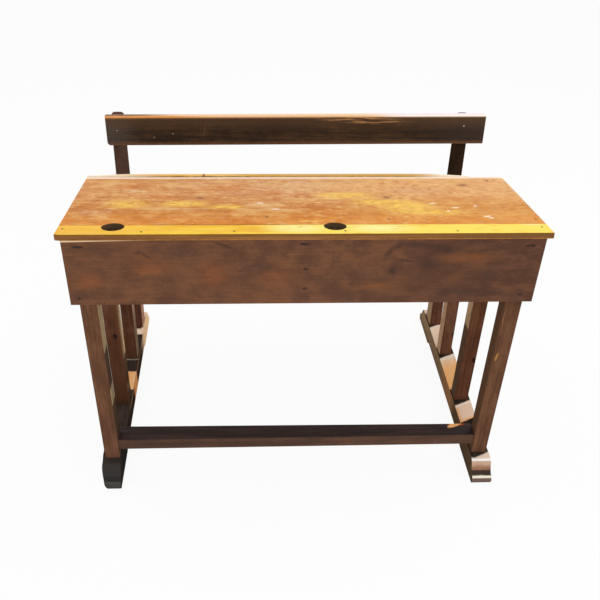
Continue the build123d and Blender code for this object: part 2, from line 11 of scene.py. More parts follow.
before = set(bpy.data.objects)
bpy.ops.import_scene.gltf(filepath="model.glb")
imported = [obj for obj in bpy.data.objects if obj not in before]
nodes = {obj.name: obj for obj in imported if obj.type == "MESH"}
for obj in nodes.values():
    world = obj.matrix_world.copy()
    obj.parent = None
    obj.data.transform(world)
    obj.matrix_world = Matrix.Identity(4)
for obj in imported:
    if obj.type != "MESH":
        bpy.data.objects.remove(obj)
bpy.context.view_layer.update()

# ---------------------------------------------------------------- named values

# The camera, solved from corners of the desk in the 600 x 600 photograph.
image_size = 600
lens_pixels = 781.99
principal_point = (281.13, 347.46)
camera_place = (-0.12967, -1.86727, 1.59716)
camera_pitch = math.radians(37.242)
camera_yaw = math.radians(2.945)
camera_roll = math.radians(1.202)
sensor_width = 36.0

# The light: a pale room, with large soft lamps above each side and in front.
room_strength = 0.55
floor_half_width = 30.0
floor_pale = 0.92
floor_share_of_white = 0.93
lamps = {
    "left_lamp": {"place": (-1.9, 0.4, 3.0), "size": 2.0, "power": 24.0},
    "right_lamp": {"place": (1.9, 0.4, 3.0), "size": 2.0, "power": 30.0},
    "front_lamp": {"place": (0.8, -3.4, 2.0), "size": 2.6, "power": 43.0},
}
lamp_aim = (0.0, 0.0, 0.45)

# Directions that faces look in.
upward = (0, 0, 1)
downward = (0, 0, -1)
frontward = (0, -1, 0)
backward = (0, 1, 0)
leftward = (-1, 0, 0)
rightward = (1, 0, 0)
front_toe_slope = (0, -0.7, 0.7)
rear_toe_slope = (0, 0.5, 0.85)

# From where a runner's faces count as its top or its toe.
runner_facing = (0.55, 0.85)

# Where the solids' faces lie.
top_near_y = -0.359
desk_height = 0.761
slope = math.radians(8.0)
top_normal = (0.0, math.sin(slope), math.cos(slope))
top_level = top_near_y * math.sin(slope) + desk_height * math.cos(slope)
joint_y = -0.3035
far_edge_y = 0.050
panel_front_y = -0.350
front_leg_face_y = -0.336
rear_leg_face_y = -0.115
footrest_top = 0.1205
post_lean = 0.088
rail_tilt = 0.0058
bench_leg_lean = 0.045
backrest_face_y = 0.309
backrest_ridge_y = 0.318
inkwell_radius = 0.025
inkwell_places = ((-0.429, -0.3135, 0.747), (0.066, -0.3135, 0.747))
butt_x = -0.2447

# Soft marks on the top: how far across and up the slope, half length and half width.
board_orange_marks = (
    (-0.179, 0.323, 0.10, 0.055), (-0.349, 0.256, 0.07, 0.035), (-0.425, 0.336, 0.06, 0.030),
    (-0.080, 0.285, 0.07, 0.030), (0.060, 0.150, 0.10, 0.040), (0.400, 0.230, 0.12, 0.035))
board_grey_marks = (
    (-0.262, 0.352, 0.04, 0.025), (0.300, 0.300, 0.12, 0.045), (-0.110, 0.290, 0.05, 0.016),
    (-0.490, 0.140, 0.06, 0.030))
board_golden_marks = (
    (-0.418, 0.201, 0.07, 0.045), (-0.284, 0.200, 0.08, 0.035), (-0.181, 0.177, 0.07, 0.024),
    (0.110, 0.262, 0.11, 0.036), (0.195, 0.212, 0.10, 0.034), (0.250, 0.172, 0.095, 0.060),
    (0.315, 0.134, 0.10, 0.028), (0.012, 0.078, 0.04, 0.010))
board_pale_marks = (
    (-0.403, 0.296, 0.07, 0.022), (-0.095, 0.191, 0.07, 0.030), (-0.300, 0.165, 0.12, 0.012),
    (-0.075, 0.158, 0.13, 0.011))
# Painted highlights on the inkwell strip, given the same way.
strip_sheen_marks = ((-0.02, 0.035, 0.10, 0.04), (0.16, 0.035, 0.12, 0.04))
strip_white_line = (0.517, 0.054)

# Small marks on the writing board: how far across and up the slope.
board_knots = ((-0.246, 0.244), (0.213, 0.245), (0.427, 0.342))
board_dots = ((-0.086, 0.107), (0.194, 0.090), (0.536, 0.088), (0.502, 0.381))
board_flecks = (
    ((-0.100, 0.206), 0.011, 0.0), ((-0.063, 0.162), 0.016, 0.0), ((0.320, 0.200), 0.013, 0.0),
    ((0.368, 0.168), 0.013, 0.0), ((0.428, 0.107), 0.013, 0.3), ((0.434, 0.096), 0.009, -0.9),
    ((0.418, 0.180), 0.005, 0.0), ((0.345, 0.145), 0.006, 0.0))

# The dark line along part of the boards' joint.
joint_line_ends = (-0.342, -0.046)

# Soft marks on the front panel: how far across and up, half length and half height.
panel_orange_marks = (
    (-0.352, 0.676, 0.075, 0.048), (-0.210, 0.652, 0.060, 0.055), (-0.493, 0.634, 0.060, 0.030),
    (-0.060, 0.650, 0.070, 0.050), (0.163, 0.617, 0.060, 0.014), (0.369, 0.692, 0.110, 0.020))
panel_dark_marks = (
    (-0.483, 0.715, 0.075, 0.022), (-0.288, 0.711, 0.090, 0.030), (-0.095, 0.671, 0.070, 0.022),
    (-0.508, 0.598, 0.050, 0.026), (-0.348, 0.645, 0.050, 0.012), (0.427, 0.649, 0.036, 0.022),
    (0.350, 0.597, 0.230, 0.022))
soft_mark_depth = 0.05

# The bare strip along the front panel's top at its left end. Its lower limit rises to the
# right from a level at the panel's end.
bare_edge_rise = 0.022
bare_edge_end = -0.537
bare_edge_levels = (0.7360, 0.7380)

# Dark figure of the front panel: place, half length, half width and turn.
panel_figure = (
    ((-0.372, 0.710), 0.020, 0.009, 0.1), ((-0.356, 0.701), 0.013, 0.006, 0.6),
    ((-0.190, 0.730), 0.044, 0.006, 0.35), ((0.186, 0.706), 0.026, 0.011, -1.05),
    ((0.205, 0.724), 0.028, 0.013, -0.65), ((0.245, 0.728), 0.050, 0.013, 0.1),
    ((0.310, 0.716), 0.060, 0.015, 0.12), ((0.228, 0.686), 0.046, 0.0045, 0.15),
    ((0.280, 0.680), 0.040, 0.036, 0.0), ((0.199, 0.658), 0.011, 0.010, 0.0),
    ((0.199, 0.658), 0.024, 0.020, 0.0), ((0.132, 0.603), 0.014, 0.0022, 0.05),
    ((0.056, 0.709), 0.003, 0.003, 0.0))
large_nail_stains = ((-0.505, 0.725), (-0.003, 0.730), (0.507, 0.723))
small_nail_stains = ((-0.518, 0.589), (0.0, 0.665), (0.0, 0.612), (0.509, 0.592))

# Marks on the uprights, the runners and the backrest.
# Painted sunlight on the legs' inner faces: zones from one height to another.
front_leg_sunlit_zones = ((0.419, 0.60), (0.248, 0.299))
rear_left_leg_sunlit_zones = ((0.229, 0.60), (0.104, 0.135))
rear_right_leg_sunlit_zones = ((0.32, 0.60),)
rear_leg_knots = ((-0.499, 0.307), (0.519, 0.210))
bench_leg_knot = (0.518, 0.115, 0.137)
# Painted sunlight on the runners' tops: the right runner's patches, and how their shadow edges lie
# askew.
right_runner_sunlit_patches = ((0.334, 0.42), (0.141, 0.254), (-0.070, 0.084), (-0.217, -0.143))
patch_skew = 0.5
right_patch_pivot = 0.479
left_patch_pivot = 0.49
rail_glints = ((-0.5018, 0.7284), (0.5010, 0.7430))
rail_screw_y = 0.313
backrest_specks = ((-0.343, 0.719), (-0.397, 0.709))

# Where a front toe's scroll starts, and the heights of its bead's front, the bead's top, the
# crease, the hollow and the shoulder.
toe_start = (-0.352, -0.357)
toe_levels = ((-0.01, 0.0200), (0.0200, 0.0243), (0.0243, 0.0330), (0.0330, 0.0550),
              (0.0550, 0.0592))

# Wood figure.
ring_squeeze = 0.07
ring_bend = 7.0
ring_wander_size = 0.05
rings_in_a_wave = 20
grain_relief = 0.0004
wander = 0.006
wander_size = 0.012

# How far a bevelled normal agrees with the plain one, on a flat and on an arris.
flat_agreement = 0.995
arris_agreement = 0.9

# Dull varnish, so that faces seen nearly edge-on keep their colour.
leg_gloss = 0.0


def srgb(sunlit_edge, green, blue):
    """A colour given as 0-255 display values, as a shader's socket takes it."""

    def linear(value):
        share = value / 255
        return share / 12.92 if share <= 0.04045 else ((share + 0.055) / 1.055) ** 2.4

    return (linear(sunlit_edge), linear(green), linear(blue), 1.0)


def on_top(x, along):
    """A place on the top: x across the desk, along from its near edge up the slope."""
    return (x, top_near_y + along * math.cos(slope), desk_height - along * math.sin(slope))


def on_panel(x, z):
    """A place on the front panel's face."""
    return (x, panel_front_y, z)


def top_spots(marks):
    """Places and radii of soft marks on the top."""
    return [(on_top(x, along), (length, width, soft_mark_depth))
            for x, along, length, width in marks]


def panel_spots(marks):
    """Places and radii of soft marks on the front panel."""
    return [(on_panel(x, z), (length, soft_mark_depth, height))
            for x, z, length, height in marks]


# ------------------------------------------------------------------- shading


class NodeTree:
    """A node tree with short calls."""

    def __init__(self, tree):
        self.tree = tree

    def feed(self, socket, value):
        """Links a socket to another node's output, or sets it to a constant."""
        if isinstance(value, bpy.types.NodeSocket):
            self.tree.links.new(value, socket)
        else:
            socket.default_value = value

    def add(self, kind, settings=None, inputs=None):
        """A new node with its settings and with what its sockets take."""
        node = self.tree.nodes.new(kind)
        for name, value in (settings or {}).items():
            setattr(node, name, value)
        for name, value in (inputs or {}).items():
            self.feed(node.inputs[name], value)
        return node

    def number(self, operation, *values):
        """Arithmetic on numbers."""
        node = self.add("ShaderNodeMath", {"operation": operation})
        for socket, value in zip(node.inputs, values):
            self.feed(socket, value)
        return node.outputs[0]

    def seen_directly(self):
        """1 for rays from the camera and for reflections and glass."""
        path = self.add("ShaderNodeLightPath").outputs
        mirrored = self.number("MAXIMUM", path["Is Glossy Ray"], path["Is Transmission Ray"])
        return self.number("MAXIMUM", path["Is Camera Ray"], mirrored)


class Shading(NodeTree):
    """One material's node tree, with what the woods share."""

    def __init__(self, name):
        self.material = bpy.data.materials.new(name)
        self.material.use_nodes = True
        super().__init__(self.material.node_tree)
        self.tree.nodes.clear()
        self.place = self.add("ShaderNodeTexCoord").outputs["Object"]
        self.normal = self.add("ShaderNodeNewGeometry").outputs["Normal"]
        self.wavy = self.waver(self.place)

    def vector(self, operation, *values):
        """Arithmetic on vectors, or their length or dot product."""
        node = self.add("ShaderNodeVectorMath", {"operation": operation})
        for socket, value in zip(node.inputs, values):
            self.feed(socket, value)
        return node.outputs["Value" if operation in ("LENGTH", "DOT_PRODUCT") else "Vector"]

    def part(self, vector, letter):
        """One of a vector's three numbers."""
        return self.add("ShaderNodeSeparateXYZ", inputs={"Vector": vector}).outputs[letter]

    def spread(self, value, low, high, start=0.0, end=1.0):
        """Takes low to high smoothly to start to end, and holds those outside."""
        node = self.add(
            "ShaderNodeMapRange",
            {"interpolation_type": "SMOOTHSTEP"},
            {"Value": value, "From Min": low, "From Max": high, "To Min": start, "To Max": end},
        )
        return node.outputs["Result"]

    def mix(self, share, first, second):
        """The first colour, turned towards the second by share."""
        node = self.add("ShaderNodeMix", {"data_type": "RGBA"})
        for index, value in ((0, share), (6, first), (7, second)):
            self.feed(node.inputs[index], value)
        return node.outputs[2]

    def ramp(self, value, *stops):
        """Colours by a value from 0 to 1."""
        node = self.add("ShaderNodeValToRGB", inputs={"Fac": value})
        elements = node.color_ramp.elements
        elements[0].position, elements[0].color = stops[0]
        elements[1].position, elements[1].color = stops[-1]
        for position, colour in stops[1:-1]:
            elements.new(position).color = colour
        return node.outputs["Color"]

    def both(self, *masks):
        """1 where every mask is 1."""
        joined = masks[0]
        for mask in masks[1:]:
            joined = self.number("MULTIPLY", joined, mask)
        return joined

    def band(self, value, low, high, soft=0.003):
        """1 from low to high."""
        rising = self.spread(value, low - soft, low + soft)
        return self.both(rising, self.spread(value, high + soft, high - soft))

    def waver(self, place):
        """The place moved about a little, so that marks have uneven edges."""
        noise = self.add("ShaderNodeTexNoise", inputs={
            "Vector": place, "Scale": 1 / wander_size, "Detail": 3.0, "Roughness": 0.6})
        shift = self.vector("SUBTRACT", noise.outputs["Color"], (0.5, 0.5, 0.5))
        scaled = self.vector("MULTIPLY", shift, (wander, wander, wander))
        return self.vector("ADD", place, scaled)

    def along_grain(self, axis, lean=0.0):
        """The place with the grain turned to run along X. A post's grain leans with it."""
        if axis == "X":
            return self.place
        split = self.add("ShaderNodeSeparateXYZ", inputs={"Vector": self.place}).outputs
        if axis == "Y":
            order = (split["Y"], split["X"], split["Z"])
        else:
            upright = self.number("MULTIPLY", split["Z"], -lean)
            order = (split["Z"], split["X"], self.number("ADD", split["Y"], upright))
        joined = self.add("ShaderNodeCombineXYZ", inputs=dict(zip("XYZ", order)))
        return joined.outputs["Vector"]

    def noise(self, place, size, stretch=1.0, detail=3.0, rough=0.5):
        """Noise with marks size metres across, and stretch times longer along X."""
        across = 1 / size
        scaled = self.vector("MULTIPLY", place, (across / stretch, across, across))
        node = self.add("ShaderNodeTexNoise", inputs={
            "Vector": scaled, "Scale": 1.0, "Detail": detail, "Roughness": rough})
        return node.outputs[0]

    def rings(self, place, pith, spacing):
        """Growth rings round a pith line along X: 0 in early wood, 1 in dark late wood."""
        scale = 2 * math.pi / (rings_in_a_wave * spacing)
        moved = self.vector("SUBTRACT", place, (0.0, *pith))
        squeezed = self.vector("MULTIPLY", moved, (ring_squeeze, 1.0, 1.0))
        node = self.add(
            "ShaderNodeTexWave",
            {"wave_type": "RINGS", "rings_direction": "X", "wave_profile": "SAW"},
            {"Vector": squeezed, "Scale": scale, "Distortion": ring_bend, "Detail": 2.0,
             "Detail Scale": 1 / (scale * ring_wander_size), "Detail Roughness": 0.4},
        )
        return self.spread(node.outputs["Fac"], 0.3, 1.0)

    def spot(self, place, radii, turn=(0.0, 0.0, 0.0), core=0.4):
        """A mark round a place: 1 inside its core, 0 from its edge outwards."""
        node = self.add("ShaderNodeMapping", {"vector_type": "TEXTURE"}, {
            "Vector": self.wavy, "Location": place, "Rotation": turn, "Scale": radii})
        return self.spread(self.vector("LENGTH", node.outputs[0]), 1.0, core)

    def round_spot(self, place, radii):
        """A sharp mark with an even edge, for what the solids' own shape bounds."""
        moved = self.vector("SUBTRACT", self.place, place)
        distance = self.vector("LENGTH", self.vector("DIVIDE", moved, radii))
        return self.spread(distance, 1.0, 0.97)

    def blotches(self, colour, mark_colour, share, texture, spots, core=0.0):
        """The colour with soft marks of one colour, broken up by a texture."""
        masks = [self.both(self.spot(place, radii, core=core), texture) for place, radii in spots]
        return self.paint(colour, mark_colour, share, *masks)

    def paint(self, colour, mark_colour, share, *masks):
        """The colour with marks of one colour painted over it."""
        for mask in masks:
            colour = self.mix(self.number("MULTIPLY", mask, share), colour, mark_colour)
        return colour

    def facing(self, direction, low=0.5, high=0.9):
        """1 where the surface faces a direction of the frame."""
        return self.spread(self.vector("DOT_PRODUCT", self.normal, direction), low, high)

    def edges(self, width):
        """1 on the arrises, 0 on the flats."""
        bevel = self.add("ShaderNodeBevel", {"samples": 6}, {"Radius": width})
        agree = self.vector("DOT_PRODUCT", bevel.outputs[0], self.normal)
        return self.spread(agree, flat_agreement, arris_agreement)

    def finish(self, colour, roughness, height, relief, strength, others):
        """The material: height is 0 to 1, relief its depth in metres, others more sockets."""
        bump = self.add("ShaderNodeBump", inputs={
            "Strength": strength, "Distance": relief, "Height": height})
        shader = self.add("ShaderNodeBsdfPrincipled", inputs={
            "Base Color": colour, "Roughness": roughness, "Normal": bump.outputs[0], **others})
        return self.surfaced(shader)

    def surfaced(self, shader):
        """The material with a shader at its output."""
        self.add("ShaderNodeOutputMaterial", inputs={"Surface": shader.outputs[0]})
        return self.material


class Wood(Shading):
    """Wood with its grain along one axis: rings, streaks and fine fibres."""

    def __init__(self, name, axis, pith=(0.03, -0.05), ring_spacing=0.006, lean=0.0,
                 mottle_stretch=2.2):
        super().__init__(name)
        self.grain = self.along_grain(axis, lean)
        self.ring = self.rings(self.grain, pith, ring_spacing)
        self.fibre = self.noise(self.grain, size=0.0011, stretch=45.0, rough=0.6)
        self.streak = self.noise(self.grain, size=0.009, stretch=22.0, detail=4.0, rough=0.55)
        self.patch = self.noise(self.grain, size=0.06, stretch=3.5)
        self.grime = self.noise(self.place, size=0.022, detail=5.0, rough=0.65)
        self.mottle = self.noise(
            self.grain, size=0.040, stretch=mottle_stretch, detail=7.0, rough=0.68)

    def figure(self, dark, middle, light, ring_colour, ring_share=0.35, fibre_share=0.3,
               mottled=0.0):
        """The wood's colour from its patches and streaks, its rings and its fibres."""
        patches = self.number("MULTIPLY", self.patch, 0.4)
        plain = self.number("MULTIPLY_ADD", self.streak, 0.6, patches)
        rest = self.number("MULTIPLY", plain, 1 - mottled)
        tone = self.number("MULTIPLY_ADD", self.mottle, mottled, rest)
        colour = self.ramp(self.spread(tone, 0.38, 0.62), (0.0, dark), (0.5, middle), (1.0, light))
        colour = self.mix(self.number("MULTIPLY", self.ring, ring_share), colour, ring_colour)
        thread = self.spread(self.fibre, 0.62, 0.36)
        return self.mix(self.number("MULTIPLY", thread, fibre_share), colour, ring_colour)

    def worn_edges(self, colour, worn_colour, width, share):
        """Arrises rubbed to another colour, more in some places than in others."""
        rubbed = self.spread(self.noise(self.grain, size=0.012, stretch=5.0), 0.38, 0.6)
        mask = self.number("MULTIPLY", self.edges(width), rubbed)
        return self.mix(self.number("MULTIPLY", mask, share), colour, worn_colour)

    def dashes(self, size, stretch, low, high):
        """Fine scattered dashes, more of them in some zones than in others."""
        noise = self.noise(self.grain, size=size, stretch=stretch, detail=2.0, rough=0.6)
        dash = self.spread(noise, low, high)
        zone = self.spread(self.noise(self.place, size=0.11, detail=2.0), 0.42, 0.58, 0.3, 1.0)
        return self.both(dash, zone)

    def broken(self, noise, low, high):
        """A texture that breaks up soft marks, from 0.35 to 1."""
        return self.spread(noise, low, high, 0.35, 1.0)

    def close(self, colour, rough, gloss):
        """The material of worn varnished wood: roughness and bump follow the grain."""
        roughness = self.spread(self.grime, 0.3, 0.7, rough - 0.08, rough + 0.14)
        rings = self.number("MULTIPLY", self.ring, 0.25)
        lines = self.number("MULTIPLY_ADD", self.fibre, 0.6, rings)
        height = self.number("MULTIPLY_ADD", self.grime, 0.4, lines)
        return self.finish(colour, roughness, height, relief=grain_relief, strength=0.8,
                           others={"Specular IOR Level": gloss})


# ------------------------------------------------------------------ materials


def writing_board_wood():
    """Orange varnish, blotchy and scratched, worn golden in places and paler at the far edge."""
    w = Wood("writing_board_wood", "X", pith=(-0.10, 0.68), ring_spacing=0.008,
             mottle_stretch=1.6)
    colour = w.figure(srgb(192, 113, 44), srgb(211, 143, 70), srgb(231, 179, 108),
                      srgb(186, 106, 44), ring_share=0.18, fibre_share=0.3, mottled=0.65)
    x = w.part(w.place, "X")
    y = w.part(w.place, "Y")
    scuffs = w.noise(w.grain, size=0.014, stretch=1.5, detail=5.0, rough=0.7)
    texture = w.broken(scuffs, 0.38, 0.6)
    far = w.both(w.spread(y, -0.22, -0.02), w.spread(x, -0.55, 0.15, 0.3, 1.0), texture)
    colour = w.paint(colour, srgb(237, 198, 158), 0.62, far)
    # Painted light: the right half of the top drawn lighter and yellower.
    sunlit_right = w.both(w.spread(x, -0.05, 0.25), texture)
    colour = w.paint(colour, srgb(240, 178, 92), 0.4, sunlit_right)
    near = w.both(w.spread(y, -0.20, -0.29), texture)
    colour = w.paint(colour, srgb(228, 142, 48), 0.65, near)
    for tint, share, marks, core in (
            (srgb(203, 112, 42), 0.6, board_orange_marks, 0.0),
            (srgb(212, 160, 124), 0.6, board_grey_marks, 0.0),
            (srgb(246, 202, 92), 0.95, board_golden_marks, 0.2),
            (srgb(240, 208, 156), 0.55, board_pale_marks, 0.0)):
        colour = w.blotches(colour, tint, share, texture, top_spots(marks), core)
    pale_dashes = w.dashes(size=0.010, stretch=1.8, low=0.57, high=0.69)
    dark_dashes = w.dashes(size=0.010, stretch=1.8, low=0.44, high=0.34)
    colour = w.paint(colour, srgb(248, 214, 156), 0.4, pale_dashes)
    colour = w.paint(colour, srgb(176, 96, 38), 0.5, dark_dashes)
    halos = [w.spot(on_top(*at), (0.034, 0.030, 0.05), core=0.0) for at in board_knots]
    knots = [w.spot(on_top(*at), (0.014, 0.014, 0.05), core=0.1) for at in board_knots]
    colour = w.paint(colour, srgb(188, 124, 78), 0.5, *halos)
    colour = w.paint(colour, srgb(122, 76, 54), 0.7, *knots)
    dots = [w.spot(on_top(*at), (0.0055, 0.007, 0.03)) for at in board_dots]
    colour = w.paint(colour, srgb(96, 54, 32), 0.7, *dots)
    flecks = [w.spot(on_top(*at), (length, 0.0045, 0.03), (0, 0, turn))
              for at, length, turn in board_flecks]
    colour = w.paint(colour, srgb(255, 242, 216), 0.9, *flecks)
    far_edge = w.spread(y, far_edge_y - 0.015, far_edge_y - 0.008)
    colour = w.paint(colour, srgb(252, 234, 214), 0.85, far_edge)
    joint = w.both(w.spread(y, joint_y + 0.005, joint_y + 0.0025),
                   w.band(x, *joint_line_ends, 0.02))
    colour = w.paint(colour, srgb(140, 66, 26), 0.8, joint)
    colour = w.worn_edges(colour, srgb(244, 208, 160), width=0.002, share=0.6)
    colour = inkwell_walls(w, colour)
    return w.close(colour, rough=0.5, gloss=0.10)


def inkwell_walls(w, colour):
    """The colour, with painted shade darkening the walls of the two inkwell holes."""
    reach = (inkwell_radius * 1.05, inkwell_radius * 1.05, 0.05)
    steep = w.facing(upward, 0.9, 0.6)
    holes = [w.round_spot(place, reach) for place in inkwell_places]
    walls = w.both(w.number("MAXIMUM", *holes), steep)
    return w.mix(walls, colour, srgb(98, 80, 56))


def strip_wood():
    """The inkwell strip: bright yellow on top, with painted shade making its front, ends and
    underside brown.
    """
    w = Wood("strip_wood", "X", pith=(-0.36, 0.70), ring_spacing=0.007)
    x = w.part(w.place, "X")
    z = w.part(w.wavy, "Z")
    colour = w.figure(srgb(240, 182, 44), srgb(250, 201, 56), srgb(253, 214, 76),
                      srgb(226, 162, 46), ring_share=0.2, fibre_share=0.25, mottled=0.6)
    colour = w.paint(colour, srgb(244, 186, 74), 0.6, w.spread(x, -0.25, -0.50))
    colour = w.paint(colour, srgb(255, 230, 100), 0.8, w.spread(x, -0.14, 0.0))
    # Painted highlights on the strip's top.
    pale = [w.spot(place, radii, core=0.0) for place, radii in top_spots(strip_sheen_marks)]
    colour = w.paint(colour, srgb(255, 246, 170), 0.75, *pale)
    dashes = w.dashes(size=0.016, stretch=3.0, low=0.56, high=0.66)
    colour = w.paint(colour, srgb(238, 170, 44), 0.5, dashes)
    white_line = w.spot(on_top(*strip_white_line), (0.035, 0.004, 0.03))
    colour = w.paint(colour, srgb(255, 240, 190), 0.8, white_line)
    # Painted shade: the strip's front and ends drawn brown instead of yellow, and its underside
    # dark too.
    brown = w.mix(w.spread(w.streak, 0.4, 0.6), srgb(124, 82, 44), srgb(150, 100, 54))
    brown = w.mix(w.spread(x, 0.1, 0.5), brown, srgb(122, 82, 44))
    brown = w.mix(w.spread(z, 0.7570, 0.7595), brown, srgb(118, 82, 30))
    brown = w.mix(w.spread(z, 0.7495, 0.7475), brown, srgb(178, 120, 52))
    for side in (frontward, leftward, rightward):
        colour = w.mix(w.facing(side, 0.35, 0.8), colour, brown)
    colour = w.mix(w.facing(downward, 0.4, 0.8), colour, srgb(120, 88, 60))
    colour = inkwell_walls(w, colour)
    return w.close(colour, rough=0.45, gloss=0.10)


def stop_wood():
    """The pencil stop: pale yellow varnish, darker brown along the foot of its front and at the
    butt joint.
    """
    w = Wood("lath_wood", "X", ring_spacing=0.005)
    colour = w.figure(srgb(226, 176, 84), srgb(244, 208, 120), srgb(252, 230, 160),
                      srgb(196, 146, 66), ring_share=0.2, fibre_share=0.25)
    above = w.number("SUBTRACT", w.vector("DOT_PRODUCT", w.wavy, top_normal), top_level)
    # Darker brown along the foot of the front face, next to the board.
    dark_foot = w.both(w.spread(above, 0.0036, 0.0012), w.facing(frontward, 0.3, 0.7))
    colour = w.paint(colour, srgb(116, 66, 32), 0.9, dark_foot)
    colour = w.paint(colour, srgb(120, 84, 44), 0.9, w.facing(backward, 0.3, 0.7))
    x = w.part(w.place, "X")
    colour = w.paint(colour, srgb(198, 160, 96), 0.7, w.spread(x, -0.30, 0.05))
    for start, end in ((-0.30, -0.52), (0.30, 0.40)):
        colour = w.paint(colour, srgb(252, 242, 220), 0.8, w.spread(x, start, end))
    butt = w.spot((butt_x, far_edge_y, 0.700), (0.0035, 0.02, 0.03), core=0.6)
    colour = w.paint(colour, srgb(110, 66, 36), 0.9, butt)
    return w.close(colour, rough=0.4, gloss=0.2)


def case_wood():
    """Dark brown varnish, redder in patches and darker to the right."""
    w = Wood("case_wood", "X", pith=(-0.39, 0.62), ring_spacing=0.010, mottle_stretch=1.3)
    colour = w.figure(srgb(95, 61, 43), srgb(113, 73, 50), srgb(128, 82, 54),
                      srgb(88, 57, 42), ring_share=0.12, fibre_share=0.4, mottled=0.7)
    x = w.part(w.place, "X")
    z = w.part(w.place, "Z")
    clouds = w.noise(w.grain, size=0.02, stretch=2.4, detail=5.0, rough=0.65)
    texture = w.broken(clouds, 0.36, 0.62)
    colour = w.paint(colour, srgb(80, 50, 33), 0.92, w.both(w.spread(x, 0.05, 0.42), texture))
    orange, dark = panel_spots(panel_orange_marks), panel_spots(panel_dark_marks)
    colour = w.blotches(colour, srgb(140, 82, 44), 0.72, texture, orange)
    colour = w.blotches(colour, srgb(74, 52, 42), 0.75, texture, dark)
    shapes = [w.spot(on_panel(*at), (long, 0.03, wide), (0, turn, 0), core=0.1)
              for at, long, wide, turn in panel_figure]
    colour = w.paint(colour, srgb(52, 37, 30), 0.52, *shapes)
    nail_stains = [w.spot(on_panel(*at), (0.017, 0.02, 0.0045)) for at in large_nail_stains]
    nail_stains += [w.spot(on_panel(*at), (0.008, 0.02, 0.0045)) for at in small_nail_stains]
    colour = w.paint(colour, srgb(34, 25, 22), 0.85, *nail_stains)
    from_end = w.number("ADD", z, bare_edge_rise * bare_edge_end)
    rising = w.number("MULTIPLY_ADD", x, -bare_edge_rise, from_end)
    upper_left = w.both(w.spread(rising, *bare_edge_levels), w.spread(x, -0.30, -0.42))
    colour = w.paint(colour, srgb(246, 214, 172), 0.95, upper_left)
    colour = w.worn_edges(colour, srgb(156, 100, 72), width=0.0025, share=0.55)
    return w.close(colour, rough=0.5, gloss=0.14)


def inside_wood():
    """Bare dusty pine inside the case."""
    w = Wood("inside_wood", "X", ring_spacing=0.009)
    colour = w.figure(srgb(150, 118, 86), srgb(170, 136, 100), srgb(190, 158, 120),
                      srgb(132, 98, 68), ring_share=0.4, fibre_share=0.35, mottled=0.3)
    dust = w.spread(w.noise(w.place, size=0.05, detail=4.0, rough=0.6), 0.45, 0.7)
    colour = w.paint(colour, srgb(168, 156, 140), 0.4, dust)
    colour = w.worn_edges(colour, srgb(206, 178, 142), width=0.002, share=0.5)
    return w.close(colour, rough=0.7, gloss=0.2)


def leg_wood(name, front, inner, side, lean=0.0):
    """A stained upright whose face towards the knees has its own tone: painted light and shade on
    that face.
    """
    w = Wood(name, "Z", pith=(0.02 * side, 0.05), ring_spacing=0.006, lean=lean)
    dark, middle, light = front
    colour = w.figure(dark, middle, light, srgb(62, 38, 28),
                      ring_share=0.14, fibre_share=0.3, mottled=0.5)
    blots = w.spread(w.mottle, 0.5, 0.66)
    inside = w.mix(w.number("MULTIPLY", blots, 0.5), inner, dark)
    colour = w.mix(w.facing((-side, 0, 0)), colour, inside)
    colour = w.worn_edges(colour, srgb(142, 88, 62), width=0.0025, share=0.6)
    return w, colour


def inner_sunlit_zones(w, colour, side, sunlit_colour, zones):
    """Painted sunlight on a leg's inner face: zones from one height to another, in their own
    colour.
    """
    z = w.part(w.wavy, "Z")
    inner = w.facing((-side, 0, 0))
    blots = w.spread(w.mottle, 0.40, 0.62, 1.0, 0.6)
    for low, high in zones:
        mask = w.both(inner, w.band(z, low, high, 0.006), blots)
        colour = w.paint(colour, sunlit_colour, 0.95, mask)
    return colour


def front_leg_wood(side, name):
    """The front legs; the left has painted sunlight on its inner face, the right a bare chip on its
    arris.
    """
    if side < 0:
        front, inner = (srgb(101, 70, 51), srgb(117, 81, 60), srgb(132, 93, 69)), srgb(84, 66, 53)
    else:
        front, inner = (srgb(94, 64, 46), srgb(109, 75, 55), srgb(124, 87, 64)), srgb(106, 78, 58)
    w, colour = leg_wood(name, front, inner, side)
    if side < 0:
        colour = inner_sunlit_zones(w, colour, side, srgb(180, 158, 120), front_leg_sunlit_zones)
    else:
        chip = w.spot((0.493, front_leg_face_y, 0.395), (0.0045, 0.01, 0.017), (0, 0.15, 0), 0.5)
        scratch = w.spot((0.4895, front_leg_face_y, 0.503), (0.0016, 0.01, 0.055),
                         (0, -0.03, 0), 0.2)
        colour = w.paint(colour, srgb(170, 122, 66), 0.9, chip)
        colour = w.paint(colour, srgb(150, 108, 80), 0.7, scratch)
    return w.close(colour, rough=0.6, gloss=leg_gloss)


def rear_leg_wood(side, name):
    """The desk's rear legs, redder, each with a dark knot and painted light inside."""
    front = (srgb(88, 56, 39), srgb(104, 66, 46), srgb(120, 80, 57))
    w, colour = leg_wood(name, front, srgb(102, 80, 62), side)
    if side < 0:
        colour = inner_sunlit_zones(w, colour, side, srgb(164, 138, 104), rear_left_leg_sunlit_zones)
        # Painted sunlight: a thin pale streak on the left leg's inner face.
        streak = w.both(w.facing(rightward), w.spread(w.part(w.wavy, "Y"), -0.100, -0.092),
                        w.spread(w.part(w.wavy, "Z"), 0.225, 0.235))
        colour = w.paint(colour, srgb(224, 194, 154), 0.85, streak)
        height = w.part(w.place, "Z")
        colour = w.paint(colour, srgb(134, 93, 70), 0.9, w.spread(height, 0.34, 0.52))
        colour = w.paint(colour, srgb(70, 44, 28), 0.6, w.spread(height, 0.28, 0.12))
    else:
        colour = inner_sunlit_zones(w, colour, side, srgb(208, 176, 138), rear_right_leg_sunlit_zones)
    knots = [w.spot((x, rear_leg_face_y, z), (0.009, 0.03, 0.012)) for x, z in rear_leg_knots]
    colour = w.paint(colour, srgb(36, 24, 22), 0.9, *knots)
    return w.close(colour, rough=0.6, gloss=leg_gloss)


